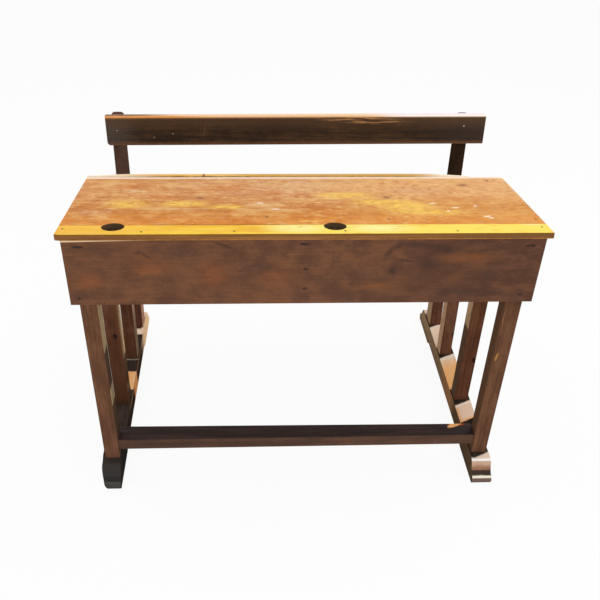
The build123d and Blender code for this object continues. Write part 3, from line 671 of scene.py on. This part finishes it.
def bench_leg_wood(side, name):
    """The bench's front legs: the left darker; inside, pale with painted light, and painted shade
    towards the foot.
    """
    # The pale inner tones are painted light.
    if side < 0:
        front, inner = (srgb(80, 50, 34), srgb(96, 62, 43), srgb(112, 75, 54)), srgb(198, 166, 138)
    else:
        front, inner = (srgb(96, 62, 45), srgb(114, 77, 56), srgb(132, 92, 69)), srgb(206, 168, 134)
    w, colour = leg_wood(name, front, inner, side, -bench_leg_lean)
    # Painted shade on the inner face towards the foot.
    low = w.both(w.facing(rightward), w.spread(w.part(w.wavy, "Z"), 0.27, 0.17))
    colour = w.paint(colour, srgb(122, 102, 80), 0.8, low)
    knot = w.spot(bench_leg_knot, (0.007, 0.05, 0.012))
    colour = w.paint(colour, srgb(34, 24, 22), 0.8, knot)
    return w.close(colour, rough=0.6, gloss=leg_gloss)


def post_wood(side, name):
    """The back posts: reddish below; above, the left one grey brown, the right nearly black."""
    if side < 0:
        above, above_worn = srgb(98, 75, 64), srgb(86, 62, 52)
    else:
        above, above_worn = srgb(45, 34, 23), srgb(54, 38, 27)
    front = (srgb(90, 56, 42), srgb(106, 69, 53), srgb(120, 82, 62))
    # Painted light: the inner face pale.
    inner = srgb(190, 146, 116) if side < 0 else srgb(172, 144, 110)
    w, colour = leg_wood(name, front, inner, side, post_lean)
    upper = w.mix(w.spread(w.mottle, 0.38, 0.62), above, above_worn)
    colour = w.mix(w.spread(w.part(w.place, "Z"), 0.40, 0.60), colour, upper)
    colour = w.worn_edges(colour, srgb(128, 76, 54), width=0.0025, share=0.6)
    return w.close(colour, rough=0.6, gloss=leg_gloss)


def toe_paint(w, colour, shoulder, hollow, crease, bead_top, bead_front):
    """The colours down a front toe's scroll, from the rounded shoulder to the bead: painted light
    and shade that follow its curves.
    """
    z = w.number("MULTIPLY_ADD", w.part(w.wavy, "Z"), 0.3,
                 w.number("MULTIPLY", w.part(w.place, "Z"), 0.7))
    y = w.part(w.place, "Y")
    scroll = w.both(w.spread(y, *toe_start), w.facing(front_toe_slope, 0.15, 0.5))
    tints = (bead_front, bead_top, crease, hollow, shoulder)
    for (low, high), tint in zip(toe_levels, tints):
        colour = w.mix(w.both(scroll, w.band(z, low, high, 0.0011)), colour, tint)
    return colour


def runner_base(name, side, dark, middle, light):
    """The stain of a runner as dark as it looks in shade, before its painted sunlit patches."""
    w = Wood(name, "Y", pith=(0.5 * side, -0.02), ring_spacing=0.007)
    return w, w.figure(dark, middle, light, srgb(38, 31, 27),
                       ring_share=0.15, fibre_share=0.35, mottled=0.5)


def right_runner_wood(name):
    """Brown stain as it looks in shade, with painted sunlit patches whose shadow edges run askew
    across the top.
    """
    w, colour = runner_base(name, 1, srgb(44, 38, 31), srgb(56, 48, 40), srgb(70, 60, 48))
    x = w.part(w.wavy, "X")
    y = w.part(w.wavy, "Y")
    z = w.part(w.wavy, "Z")
    inner = w.facing(leftward)
    # Painted light on the inner face: khaki, with orange and darker tones towards the front.
    lit_inner_tint = w.mix(w.spread(w.streak, 0.42, 0.6), srgb(160, 134, 104), srgb(128, 104, 80))
    lit_inner_tint = w.mix(w.spread(y, 0.06, -0.02), lit_inner_tint, srgb(164, 122, 84))
    lit_inner_tint = w.mix(w.spread(y, -0.09, -0.15), lit_inner_tint, srgb(104, 84, 64))
    colour = w.mix(inner, colour, lit_inner_tint)
    # Painted sunlight: patches between the legs' shadows, with bright rims and an orange glow near
    # the inner edge.
    pivot = w.number("ADD", y, patch_skew * right_patch_pivot)
    askew = w.number("MULTIPLY_ADD", x, -patch_skew, pivot)
    bare = w.mix(w.spread(askew, 0.082, 0.020), srgb(255, 230, 202), srgb(255, 196, 130))
    bare = w.mix(w.spread(askew, -0.12, -0.14), bare, srgb(244, 210, 184))
    bare = w.mix(w.spread(askew, -0.205, -0.216), bare, srgb(255, 194, 140))
    bare = w.paint(bare, srgb(238, 176, 130), 0.4, w.spread(w.mottle, 0.5, 0.68))
    glow = w.both(w.spread(x, 0.493, 0.484), w.spread(askew, -0.12, -0.14))
    bare = w.paint(bare, srgb(248, 178, 108), 0.7, glow)
    top = w.facing(upward, *runner_facing)
    rear_toe = w.facing(rear_toe_slope, *runner_facing)
    for low, high in right_runner_sunlit_patches:
        colour = w.mix(w.both(top, w.band(askew, low, high)), colour, bare)
        sunlit_rim = w.both(top, w.band(askew, high - 0.012, high - 0.002))
        colour = w.paint(colour, srgb(255, 246, 228), 0.7, sunlit_rim)
    # Painted sunlight on the edge of the rear toe.
    colour = w.mix(w.both(rear_toe, w.spread(askew, 0.332, 0.338)), colour, srgb(236, 208, 186))
    # Painted light and shade down the front toe: a near-white shoulder, a shaded hollow and crease,
    # a lit bead top.
    hollow = w.mix(w.spread(z, 0.049, 0.036), srgb(206, 168, 142), srgb(150, 110, 86))
    hollow = w.paint(hollow, srgb(172, 122, 96), 0.5, w.spread(w.mottle, 0.48, 0.60))
    colour = toe_paint(w, colour, srgb(255, 250, 242), hollow, srgb(66, 54, 46),
                       srgb(244, 240, 216), srgb(120, 96, 90))
    # Painted highlight along the front of the top.
    front_top = w.both(top, w.spread(askew, -0.360, -0.366), w.spread(z, 0.0590, 0.0594))
    colour = w.mix(front_top, colour, srgb(240, 214, 194))
    return w.close(colour, rough=0.6, gloss=leg_gloss)


def left_runner_wood(name):
    """Dark stain as it looks in shade, with the painted sunlit patches of the left runner."""
    w, colour = runner_base(name, -1, srgb(54, 45, 40), srgb(66, 55, 48), srgb(78, 66, 58))
    x = w.part(w.wavy, "X")
    y = w.part(w.wavy, "Y")
    z = w.part(w.wavy, "Z")
    top = w.facing(upward, *runner_facing)
    inner = w.facing(rightward)
    # Painted light and shade on the inner face: a pale upper line, an orange band, a pale rear end,
    # dark grey at the front.
    upper_line = w.both(w.spread(z, 0.048, 0.054), w.spread(y, -0.16, -0.10))
    side_tint = w.mix(upper_line, srgb(60, 47, 40), srgb(128, 102, 80))
    side_tint = w.mix(w.spread(y, -0.18, -0.26), side_tint, srgb(50, 47, 43))
    side_tint = w.mix(w.band(y, -0.036, 0.036), side_tint, srgb(240, 166, 106))
    side_tint = w.mix(w.spread(y, 0.16, 0.26), side_tint, srgb(255, 216, 172))
    colour = w.mix(inner, colour, side_tint)
    # Painted sunlight on the top: cream at the crossbar, beside the upright and on the rear toe.
    sunlit_cream = w.mix(w.spread(w.mottle, 0.44, 0.60), srgb(255, 232, 206), srgb(246, 200, 160))
    crossbar = w.both(top, w.band(y, 0.232, 0.264))
    upright = w.both(top, w.spread(x, -0.492, -0.486), w.spread(y, 0.232, 0.240))
    rear_toe = w.both(w.facing(rear_toe_slope, *runner_facing), w.spread(y, 0.350, 0.358))
    for mask in (crossbar, upright, rear_toe):
        colour = w.mix(mask, colour, sunlit_cream)
    # Painted sunlight: a thin lit line across the top.
    light_line = w.both(top, w.band(y, 0.094, 0.100, 0.002))
    colour = w.paint(colour, srgb(170, 154, 132), 0.8, light_line)
    # Painted sunlight: an orange patch with askew shadow edges.
    pivot = w.number("ADD", y, patch_skew * left_patch_pivot)
    askew = w.number("MULTIPLY_ADD", x, patch_skew, pivot)
    patch = w.both(top, w.spread(y, 0.040, 0.034), w.spread(askew, -0.049, -0.043))
    orange = w.mix(w.spread(w.mottle, 0.4, 0.6), srgb(252, 178, 112), srgb(255, 206, 150))
    colour = w.mix(patch, colour, orange)
    # Painted shade: the front of the top dark grey, and the toe below in greys.
    front_top = w.both(top, w.spread(y, -0.326, -0.334))
    colour = w.mix(front_top, colour, srgb(60, 55, 52))
    colour = toe_paint(w, colour, srgb(62, 58, 56), srgb(61, 57, 55), srgb(52, 50, 48),
                       srgb(76, 79, 72), srgb(74, 72, 68))
    return w.close(colour, rough=0.6, gloss=leg_gloss)


def rail_wood():
    """The footrest: its top darker, its front browner, with a painted sunlit patch on its top."""
    w = Wood("rail_wood", "X", pith=(-0.32, 0.02), ring_spacing=0.007)
    colour = w.figure(srgb(74, 47, 34), srgb(88, 58, 42), srgb(102, 68, 49),
                      srgb(54, 38, 30), ring_share=0.15, fibre_share=0.3, mottled=0.4)
    top = w.facing(upward, 0.5, 0.9)
    # The top darker than the front.
    dark_top = w.mix(w.spread(w.streak, 0.4, 0.6), srgb(44, 35, 34), srgb(60, 46, 43))
    colour = w.mix(w.number("MULTIPLY", top, 0.92), colour, dark_top)
    colour = w.worn_edges(colour, srgb(106, 78, 66), width=0.003, share=0.5)
    scratch = w.spot((0.3785, -0.331, 0.096), (0.019, 0.03, 0.0013), (0, -0.92, 0), 0.2)
    colour = w.paint(colour, srgb(134, 104, 90), 0.6, scratch)
    # Painted sunlight: an orange wedge at the rear right corner of the top, with a reddish edge.
    sunlit_wedge = w.spot((0.441, -0.286, footrest_top), (0.032, 0.0105, 0.01), (0, 0, 0.5), 0.7)
    sunlit_edge = w.spot((0.468, -0.284, footrest_top), (0.036, 0.003, 0.01), (0, 0, 0.42), 0.4)
    speck = w.spot((0.412, -0.281, footrest_top), (0.007, 0.003, 0.01), core=0.6)
    colour = w.paint(colour, srgb(182, 66, 36), 0.9, sunlit_edge)
    colour = w.paint(colour, srgb(255, 186, 118), 0.97, sunlit_wedge)
    colour = w.paint(colour, srgb(236, 226, 216), 0.9, speck)
    return w.close(colour, rough=0.45, gloss=0.16)


def seat_wood():
    """The bench's seat, worn by sitting."""
    w = Wood("seat_wood", "X", pith=(0.20, 0.30), ring_spacing=0.008)
    colour = w.figure(srgb(150, 98, 56), srgb(172, 116, 68), srgb(190, 136, 84),
                      srgb(120, 76, 44), ring_share=0.4, fibre_share=0.35, mottled=0.3)
    rubbed = w.spread(w.noise(w.grain, size=0.07, stretch=2.0, detail=4.0, rough=0.6), 0.45, 0.66)
    colour = w.paint(colour, srgb(206, 158, 108), 0.5, rubbed)
    colour = w.worn_edges(colour, srgb(218, 176, 128), width=0.006, share=0.7)
    return w.close(colour, rough=0.42, gloss=0.3)


def bearer_wood(name, axis):
    """Dark stained boards under the seat."""
    w = Wood(name, axis, pith=(0.05, 0.34), ring_spacing=0.007)
    colour = w.figure(srgb(76, 50, 36), srgb(94, 64, 46), srgb(108, 76, 54),
                      srgb(58, 38, 30), ring_share=0.4, fibre_share=0.35)
    colour = w.worn_edges(colour, srgb(150, 112, 82), width=0.003, share=0.5)
    return w.close(colour, rough=0.5, gloss=0.25)


def backrest_wood():
    """The backrest: dark on its face, with painted sunlight and glare along its top edge."""
    w = Wood("backrest_wood", "X", pith=(0.32, 0.66), ring_spacing=0.009)
    colour = w.figure(srgb(44, 28, 14), srgb(63, 41, 23), srgb(86, 59, 34),
                      srgb(36, 23, 12), ring_share=0.25, fibre_share=0.5, mottled=0.5)
    x = w.part(w.place, "X")
    z = w.part(w.wavy, "Z")
    y = w.part(w.wavy, "Y")
    colour = w.paint(colour, srgb(80, 70, 63), 0.6, w.spread(x, -0.42, -0.52))
    colour = w.paint(colour, srgb(52, 36, 28), 0.6, w.spread(x, 0.36, 0.46))
    level = w.number("MULTIPLY_ADD", x, -rail_tilt, z)
    colour = w.paint(colour, srgb(92, 64, 40), 0.55, w.spread(level, 0.722, 0.758))
    # Painted sunlight on the rounded top edge: an orange band just below the top.
    colour = w.paint(colour, srgb(156, 108, 60), 0.75, w.spread(level, 0.7610, 0.7690))
    colour = w.paint(colour, srgb(116, 74, 46), 0.85, w.spread(level, 0.702, 0.6875))
    wave = w.spread(w.noise(w.grain, size=0.006, stretch=14.0, detail=2.0), 0.48, 0.58)
    zone = w.spot((0.20, backrest_face_y, 0.760), (0.17, 0.016, 0.014), (0, 0.05, 0), 0.3)
    colour = w.paint(colour, srgb(182, 134, 82), 0.85, w.both(wave, zone))
    # Painted sunlight and glare on the top face: orange at the left, near white to the right.
    near = w.mix(w.spread(x, -0.36, -0.20), srgb(224, 150, 80), srgb(232, 186, 134))
    near = w.mix(w.spread(x, 0.20, 0.34), near, srgb(250, 238, 228))
    far = w.mix(w.spread(x, -0.46, -0.30), srgb(122, 84, 58), srgb(244, 208, 176))
    far = w.mix(w.spread(x, 0.20, 0.34), far, srgb(250, 228, 232))
    bright = w.mix(w.spread(y, backrest_ridge_y - 0.003, backrest_ridge_y + 0.001), near, far)
    colour = w.mix(w.facing(upward, 0.35, 0.75), colour, bright)
    specks = [w.spot((across, backrest_face_y, up), (0.0035, 0.012, 0.0035))
              for across, up in backrest_specks]
    colour = w.paint(colour, srgb(150, 130, 110), 0.7, *specks)
    scratch = w.spot((-0.2515, backrest_face_y, 0.726), (0.0016, 0.016, 0.04), (0, 0.15, 0), 0.2)
    colour = w.paint(colour, srgb(112, 86, 64), 0.5, scratch)
    return w.close(colour, rough=0.42, gloss=0.16)


def peg_wood():
    """The stained pegs of the runners."""
    w = Wood("peg_wood", "X", ring_spacing=0.003)
    colour = w.figure(srgb(84, 58, 44), srgb(102, 72, 54), srgb(118, 84, 62), srgb(60, 42, 34))
    return w.close(colour, rough=0.55, gloss=0.25)


def putty():
    """Brown putty and varnish over the writing board's nails."""
    w = Wood("putty", "X", ring_spacing=0.003)
    colour = w.figure(srgb(206, 134, 68), srgb(216, 150, 84), srgb(226, 168, 104),
                      srgb(190, 120, 60), mottled=0.5)
    return w.close(colour, rough=0.6, gloss=0.14)


def iron():
    """Dark iron of nails and screws, rusty in places; the backrest's screws glint."""
    s = Shading("iron")
    rust = s.spread(s.noise(s.place, size=0.002, detail=4.0, rough=0.6), 0.42, 0.62)
    colour = s.mix(rust, srgb(52, 46, 44), srgb(84, 54, 38))
    glints = [s.spot((x, rail_screw_y, z), (0.0026, 0.02, 0.0026), core=0.5)
              for x, z in rail_glints]
    colour = s.paint(colour, srgb(214, 204, 190), 0.9, *glints)
    pits = s.noise(s.place, size=0.0008, rough=0.6)
    roughness = s.spread(rust, 0.0, 1.0, 0.45, 0.8)
    return s.finish(colour, roughness, pits, relief=0.0002, strength=0.5,
                    others={"Metallic": 0.7})


def floor_white():
    """A pale floor that the camera sees as white, with the desk's shadow on it."""
    s = Shading("floor_white")
    matt = s.add("ShaderNodeBsdfDiffuse", inputs={"Color": (floor_pale, floor_pale, floor_pale, 1)})
    white = s.add("ShaderNodeEmission", inputs={"Color": (1, 1, 1, 1), "Strength": 1.0})
    share = s.number("MULTIPLY", s.seen_directly(), floor_share_of_white)
    mixed = s.add("ShaderNodeMixShader", inputs={"Fac": share})
    for socket, shader in ((1, matt), (2, white)):
        s.feed(mixed.inputs[socket], shader.outputs[0])
    return s.surfaced(mixed)


# -------------------------------------------------------------- stage and light


def make_camera():
    """The photograph's camera."""
    data = bpy.data.cameras.new("camera")
    data.sensor_fit = "HORIZONTAL"
    data.sensor_width = sensor_width
    data.lens = sensor_width * lens_pixels / image_size
    data.shift_x = 0.5 - principal_point[0] / image_size
    data.shift_y = principal_point[1] / image_size - 0.5
    camera = bpy.data.objects.new("camera", data)
    tilt = Matrix.Rotation(math.pi / 2 - camera_pitch, 4, "X")
    turn = Matrix.Rotation(-camera_yaw, 4, "Z")
    roll = Matrix.Rotation(camera_roll, 4, "Z")
    camera.matrix_world = Matrix.Translation(camera_place) @ turn @ tilt @ roll
    bpy.context.scene.collection.objects.link(camera)
    bpy.context.scene.camera = camera


def make_floor():
    """A wide square at the level of the runners' soles."""
    h = floor_half_width
    mesh = bpy.data.meshes.new("floor")
    mesh.from_pydata([(-h, -h, 0), (h, -h, 0), (h, h, 0), (-h, h, 0)], [], [(0, 1, 2, 3)])
    floor = bpy.data.objects.new("floor", mesh)
    bpy.context.scene.collection.objects.link(floor)
    floor.data.materials.append(floor_white())


def make_lamp(name, lamp):
    """A square soft lamp that shines at the middle of the desk."""
    data = bpy.data.lights.new(name, "AREA")
    data.shape = "SQUARE"
    data.size = lamp["size"]
    data.energy = lamp["power"]
    light = bpy.data.objects.new(name, data)
    light.location = lamp["place"]
    towards = Vector(lamp_aim) - light.location
    light.rotation_euler = towards.to_track_quat("-Z", "Y").to_euler()
    bpy.context.scene.collection.objects.link(light)


def make_room():
    """The world lights the desk evenly, and is white where it is seen."""
    world = bpy.data.worlds.new("room")
    world.use_nodes = True
    room = NodeTree(world.node_tree)
    strength = room.add("ShaderNodeMapRange", inputs={
        "Value": room.seen_directly(), "To Min": room_strength, "To Max": 1.0})
    background = room.tree.nodes["Background"]
    room.feed(background.inputs["Color"], (1, 1, 1, 1))
    room.feed(background.inputs["Strength"], strength.outputs["Result"])
    bpy.context.scene.world = world


make_camera()
make_floor()
make_room()
for lamp_name, lamp in lamps.items():
    make_lamp(lamp_name, lamp)
bpy.context.scene.view_settings.view_transform = "Standard"

# ------------------------------------------------------------ dressing the nodes


def dress(node, material):
    """A CAD node gets a material in its own slots."""
    piece = nodes[node]
    if not piece.material_slots:
        piece.data.materials.append(material)
    for slot in piece.material_slots:
        slot.material = material


case = case_wood()
inside = inside_wood()
lath = stop_wood()
dress("writing_board", writing_board_wood())
dress("inkwell_strip", strip_wood())
dress("pencil_stop_short", lath)
dress("pencil_stop_long", lath)
dress("front_panel", case)
dress("book_shelf", inside)
dress("middle_divider", inside)
dress("footrest_rail", rail_wood())
dress("seat_board", seat_wood())
dress("seat_stretcher", bearer_wood("stretcher_wood", "X"))
dress("backrest_rail", backrest_wood())
dress("runner_left", left_runner_wood("runner_wood_left"))
dress("runner_right", right_runner_wood("runner_wood_right"))
bearer = bearer_wood("bearer_wood", "Y")
for side, hand in ((-1, "left"), (1, "right")):
    dress("case_side_" + hand, case)
    dress("shelf_batten_" + hand, inside)
    dress("front_leg_" + hand, front_leg_wood(side, "front_leg_wood_" + hand))
    dress("rear_desk_leg_" + hand, rear_leg_wood(side, "rear_leg_wood_" + hand))
    dress("bench_leg_" + hand, bench_leg_wood(side, "bench_leg_wood_" + hand))
    dress("back_post_" + hand, post_wood(side, "post_wood_" + hand))
    dress("seat_bearer_" + hand, bearer)
dress("runner_pegs", peg_wood())
dress("writing_board_nails", putty())
dark_iron = iron()
for fasteners in ("strip_nails", "panel_nails", "case_side_brads", "batten_brads", "shelf_brads",
                  "divider_brads", "seat_brads", "stretcher_brads", "pencil_stop_pins",
                  "bearer_screws", "backrest_screws"):
    dress(fasteners, dark_iron)
